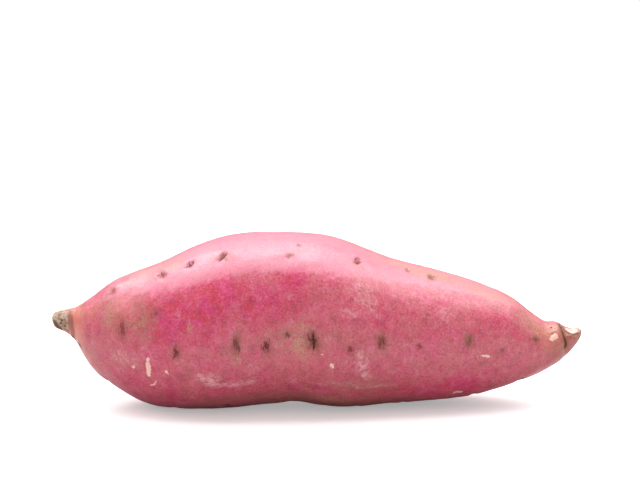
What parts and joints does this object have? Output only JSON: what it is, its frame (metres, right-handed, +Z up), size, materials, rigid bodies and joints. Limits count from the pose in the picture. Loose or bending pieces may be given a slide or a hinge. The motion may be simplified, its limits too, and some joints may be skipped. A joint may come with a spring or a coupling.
{
  "type": "sweet potato",
  "caption": "Whole raw sweet potato root lying on its side, spindle-shaped, with a corky stem knob, shallow eyes and a hooked tail.",
  "frame": {"origin": "middle of the root's box in X and Y, on the surface that the root lies on", "axes": "+X along the root from the stem knob to the tail, +Z up"},
  "size_m": [0.19, 0.0636, 0.0628],
  "materials": {
    "skin": "satin magenta-pink skin, mottled, with corky ends"
  },
  "bodies": {
    "root": {"sweet_potato": "skin"}
  },
  "joints": []
}
